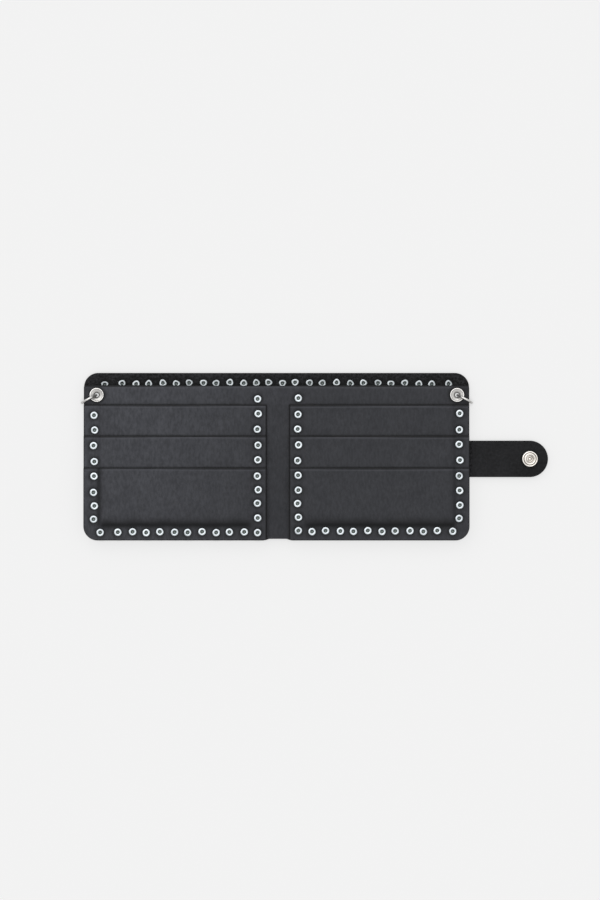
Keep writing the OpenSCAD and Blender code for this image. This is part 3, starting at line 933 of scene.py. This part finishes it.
class Look:
    """One material's nodes."""

    def __init__(self, name):
        self.material = bpy.data.materials.new(name)
        self.material.use_nodes = True
        self.tree = self.material.node_tree
        self.tree.nodes.clear()
        self.output = self.tree.nodes.new("ShaderNodeOutputMaterial")

    def node(self, kind, settings=None, inputs=None, out=0):
        made = self.tree.nodes.new(kind)
        for name, value in (settings or {}).items():
            setattr(made, name, value)
        for key, value in (inputs or {}).items():
            socket = made.inputs[key]
            if isinstance(value, Wire):
                self.tree.links.new(value.socket, socket)
            else:
                socket.default_value = value
        return Wire(self, made.outputs[out])

    def place(self):
        return self.node("ShaderNodeTexCoord", out="Object")

    def stretched(self, scale):
        return self.node("ShaderNodeMapping", inputs={"Vector": self.place(), "Scale": scale})

    def noise(self, scale, detail=3.0, roughness=0.55, vector=None):
        return self.node("ShaderNodeTexNoise", inputs={
            "Vector": vector or self.place(), "Scale": scale, "Detail": detail,
            "Roughness": roughness})

    def axis(self, name):
        return self.node("ShaderNodeSeparateXYZ", inputs={"Vector": self.place()}, out=name)

    def attribute(self, name):
        return self.node("ShaderNodeAttribute", {"attribute_name": name}, out="Fac")

    def graded(self, value, low_value, high_value, to_low=0.0, to_high=1.0):
        return self.node("ShaderNodeMapRange", {"clamp": True}, {
            "Value": value, "From Min": low_value, "From Max": high_value,
            "To Min": to_low, "To Max": to_high})

    def mixed(self, factor, first, second, blend="MIX"):
        return self.node("ShaderNodeMix", {"data_type": "RGBA", "blend_type": blend},
                         {0: factor, 6: first, 7: second}, out=2)

    def cells(self, feature, scale, **more):
        return self.node("ShaderNodeTexVoronoi", {"feature": feature}, {
            "Vector": self.place(), "Scale": scale, **more}, out="Distance")

    def bump(self, strength, distance, height):
        return self.node("ShaderNodeBump", inputs={
            "Strength": strength, "Distance": distance, "Height": height})

    def finish(self, **surface):
        """Ends the material with a Principled shader. Its sockets' names take _ for a space."""
        shader = self.node("ShaderNodeBsdfPrincipled", inputs={
            name.replace("_", " "): value for name, value in surface.items()})
        self.tree.links.new(shader.socket, self.output.inputs["Surface"])
        return self.material


def grey(level, blue=1.1, red=0.99):
    return (level * red, level, level * blue, 1)


def tint(level):
    """The cool grey of the pocket leather."""
    return grey(level, blue=1.17, red=0.965)


def pocket_leather():
    """Smooth dark grey leather: fine grain, faint mottling and black edges. Painted light makes it
    lighter to the left and top; painted shade with some dirt darkens it round the studs, painted shade
    lies at the walls and above the slot lines, and a painted highlight runs along the lips.
    """
    look = Look("pocket leather, smooth dark grey")
    pressed = look.attribute("pressed")
    # Painted light: across and down grade the leather lighter to the left and towards the top, darker to
    # the right and bottom.
    across = look.graded(look.axis("X"), SPINE_X - 70 * MM, SPINE_X + 25 * MM)
    down = look.graded(look.axis("Y"), 50 * MM, -50 * MM)
    mottle = look.noise(110.0, 4.0, 0.6)
    grain = look.noise(720.0, 3.0, 0.65, look.stretched((1.0, 0.45, 1.0)))
    base = look.mixed(across + down * 0.42, tint(POCKET_LIT_LEFT), tint(POCKET_SHADED_RIGHT))
    base = look.mixed(look.graded(mottle, 0.38, 0.62, 0.0, 0.26), base, tint(POCKET_SHADED_RIGHT * 0.8))
    base = look.mixed(look.graded(grain, 0.36, 0.64, 0.0, 0.46), base, tint(POCKET_SHADED_RIGHT * 0.4))
    # Painted highlight along each pocket's lip.
    base = look.mixed(look.attribute("lip") * 0.45, base, tint(POCKET_LIT_LEFT * 1.4))
    # Painted shade, with some dirt, round the studs, and painted shade at the walls.
    base = look.mixed(pressed * 0.93, base, tint(0.004))
    # Black dyed cut edges, and painted shadow just above each slot line.
    base = look.mixed(look.attribute("dyed_edge_and_slot_shadow") * 0.96, base, tint(0.002))
    pores = look.graded(look.cells("F1", 1900.0, Randomness=1.0), 0.0, 0.6)
    wrinkle = look.noise(260.0, 4.0, 0.62, look.stretched((1.0, 0.6, 1.0)))
    return look.finish(
        Base_Color=base,
        Roughness=look.graded(mottle, 0.3, 0.7, 0.48, 0.6) + pressed * 0.12,
        Normal=look.bump(0.3, 0.15 * MM, pores * 0.4 + wrinkle * 0.75),
        Specular_IOR_Level=0.2)


def cover_leather():
    """Black cover leather: pebbled outside, with a dull napped flesh side and burnished edges."""
    look = Look("cover leather, black")
    flesh = look.attribute("flesh")
    raw_nap = look.noise(700.0, 4.0, 0.75)
    nap = raw_nap + look.attribute("pressed_smooth") * (0.5 - raw_nap) * 0.7
    cloud = look.noise(40.0, 3.0, 0.55)
    outside = look.mixed(look.graded(cloud, 0.35, 0.65), grey(0.012), grey(0.02))
    inside = look.mixed(look.graded(nap * 0.8 + cloud * 0.2, 0.42, 0.58), grey(0.002), grey(0.022))
    base = look.mixed(flesh, outside, inside)
    # Painted shade, with some dirt, round the studs and the snap.
    base = look.mixed(look.attribute("pressed") * 0.7, base, grey(0.002))
    base = look.mixed(look.attribute("dyed_edge_and_slot_shadow") * 0.7, base, grey(0.005))
    pebble = look.cells("SMOOTH_F1", 950.0, Smoothness=0.5)
    grain = pebble * 0.9 + look.noise(180.0, 3.0, 0.55) * 0.5
    return look.finish(
        Base_Color=base,
        Roughness=0.46 + flesh * 0.4 + cloud * 0.08,
        Normal=look.bump(0.4, 0.2 * MM, flesh * nap * 0.8 + (1 - flesh) * grain),
        Specular_IOR_Level=0.25)


def plated(name, bright, dull, tarnish_and_shade, roughness, scratches=1500.0, drawn_out=None):
    """Plated metal with faint handling marks, and a duller colour painted down in its recesses as shade.
    """
    look = Look(name)
    # Painted shade in hollows, grooves and throats; on the spring, an even duller tone of its own.
    recess = look.attribute("tarnish_and_shade")
    smear = look.noise(700.0, 3.0, 0.6)
    patch = look.graded(look.noise(120.0, 2.0, 0.5), 0.35, 0.65)
    scratch = look.noise(scratches, 2.0, 0.5, look.stretched(drawn_out) if drawn_out else None)
    handled = look.mixed(patch, (*bright, 1), (*dull, 1))
    return look.finish(
        Base_Color=look.mixed(recess, handled, (*tarnish_and_shade, 1)),
        Metallic=1.0,
        Roughness=look.graded(smear, 0.3, 0.7, *roughness) + recess * 0.15,
        Normal=look.bump(0.12, 0.03 * MM, scratch))


def bright_plated_steel():
    return plated("bright plated steel", (0.61, 0.652, 0.676), (0.48, 0.516, 0.54),
                  (0.13, 0.155, 0.145), (0.2, 0.34))


# A darker copy of the stud steel: painted shade for the top row's studs.
def shaded_plated_steel():
    return plated("plated steel, painted shade copy", (0.46, 0.49, 0.505), (0.32, 0.345, 0.355),
                  (0.11, 0.13, 0.125), (0.24, 0.4))


def grommet_nickel():
    return plated("grommet nickel", (0.93, 0.915, 0.89), (0.80, 0.785, 0.76),
                  (0.25, 0.24, 0.23), (0.2, 0.36))


def snap_nickel():
    return plated("snap nickel, warm", (0.95, 0.92, 0.87), (0.74, 0.70, 0.64),
                  (0.15, 0.12, 0.10), (0.16, 0.3))


def ring_wire():
    return plated("ring wire", (0.84, 0.83, 0.81), (0.68, 0.67, 0.65),
                  (0.13, 0.13, 0.13), (0.22, 0.38), scratches=2400.0, drawn_out=(1.0, 0.2, 1.0))


def dress(material, *pieces):
    for piece in pieces:
        piece.data.materials.clear()
        piece.data.materials.append(material)


# ---------------------------------------------------------------- the object

def build_wallet():
    pocket_look, cover_look = pocket_leather(), cover_leather()
    stud_look, top_stud_look = bright_plated_steel(), shaded_plated_steel()
    grommet_look, snap_look, wire_look = grommet_nickel(), snap_nickel(), ring_wire()
    for side in SIDES:
        half = f"{side}_half"
        dress(cover_look, cover_sheet(side))
        dress(pocket_look, panel_sheet(side))
        for rank in range(len(LEVELS)):
            dress(pocket_look, pocket_sheet(side, rank))
        dress(stud_look, stud_row(f"edge_studs_{side}", half), stud_row(f"bottom_studs_{side}", half))
        dress(top_stud_look, stud_row(f"top_studs_{side}", half, crimp=TOP_CRIMP))
        dress(stud_look, stud_row(f"inner_studs_{side}", half, outside_head=False))
        dress(grommet_look, grommet(side), washer(side))
        dress(wire_look, chain_ring(side))
    dress(top_stud_look, stud_row("top_stud_spine", "spine", crimp=TOP_CRIMP))
    dress(cover_look, strap_riser(), strap_tip())
    dress(snap_look, snap_socket(), snap_spring(), snap_cap(), snap_stud(), snap_stud_rivet())


# ---------------------------------------------------------------- the studio

FLOOR_TONE = 0.16
FLOOR_GLOW = 0.72
SHADE_REACH = 3.2 * MM
SKY = ((0.0, (0.4, 0.4, 0.4, 1)), (0.5, (0.62, 0.62, 0.62, 1)), (1.0, (1, 1, 1, 1)))
SKY_STRENGTH = 0.95
LIGHTS = {"key": {"at": (-0.5, 0.75, 1.5), "spread": 60, "power": 0.9},
          "fill": {"at": (0.7, 0.2, 1.5), "spread": 70, "power": 0.35}}
CAMERA_FROM_SPINE = 12.4 * MM
CAMERA_Y = 3.7 * MM
CAMERA_HEIGHT = 1.5
SEEN_HEIGHT = 0.5055
SEEN_LEVEL = 7 * MM
SENSOR = 36


def studio_floor():
    """A pale floor that glows softly, but not in the shade close under the wallet."""
    deselect()
    bpy.ops.mesh.primitive_plane_add(size=6, location=(0, 0, -0.2 * MM))
    floor = bpy.context.object
    floor.name = "studio_floor"
    look = Look("pale studio floor")
    open_sky = look.node("ShaderNodeAmbientOcclusion", {"samples": 16}, {"Distance": SHADE_REACH},
                         out="Color")
    pale = look.finish(Base_Color=(FLOOR_TONE, FLOOR_TONE, FLOOR_TONE, 1), Roughness=0.95,
                       Specular_IOR_Level=0.0, Emission_Color=open_sky, Emission_Strength=FLOOR_GLOW)
    dress(pale, floor)


def studio_sky():
    """A grey sky that brightens upwards."""
    world = bpy.data.worlds.new("studio")
    bpy.context.scene.world = world
    world.use_nodes = True
    tree = world.node_tree
    background = tree.nodes["Background"]
    direction = tree.nodes.new("ShaderNodeTexCoord")
    split = tree.nodes.new("ShaderNodeSeparateXYZ")
    ramp = tree.nodes.new("ShaderNodeValToRGB")
    while len(ramp.color_ramp.elements) < len(SKY):
        ramp.color_ramp.elements.new(0.5)
    for stop, (height, colour) in zip(ramp.color_ramp.elements, SKY):
        stop.position, stop.color = height, colour
    tree.links.new(direction.outputs["Generated"], split.inputs[0])
    tree.links.new(split.outputs["Z"], ramp.inputs["Fac"])
    tree.links.new(ramp.outputs["Color"], background.inputs["Color"])
    background.inputs["Strength"].default_value = SKY_STRENGTH


def studio_lights():
    for name, light in LIGHTS.items():
        bpy.ops.object.light_add(type="SUN", location=light["at"])
        lamp = bpy.context.object
        lamp.name = f"{name}_light"
        lamp.data.angle = math.radians(light["spread"])
        lamp.data.energy = light["power"]
        lamp.rotation_mode = "QUATERNION"
        lamp.rotation_quaternion = (-lamp.location).to_track_quat("-Z", "Y")


def camera():
    """Looks straight down on the open wallet."""
    deselect()
    bpy.ops.object.camera_add(location=(SPINE_X + CAMERA_FROM_SPINE, CAMERA_Y, CAMERA_HEIGHT),
                              rotation=(0, 0, 0))
    view = bpy.context.object
    view.data.sensor_width = SENSOR
    view.data.lens = SENSOR * (CAMERA_HEIGHT - SEEN_LEVEL) / SEEN_HEIGHT
    bpy.context.scene.camera = view
    bpy.context.scene.view_settings.view_transform = "Standard"


build_wallet()
studio_floor()
studio_sky()
studio_lights()
camera()
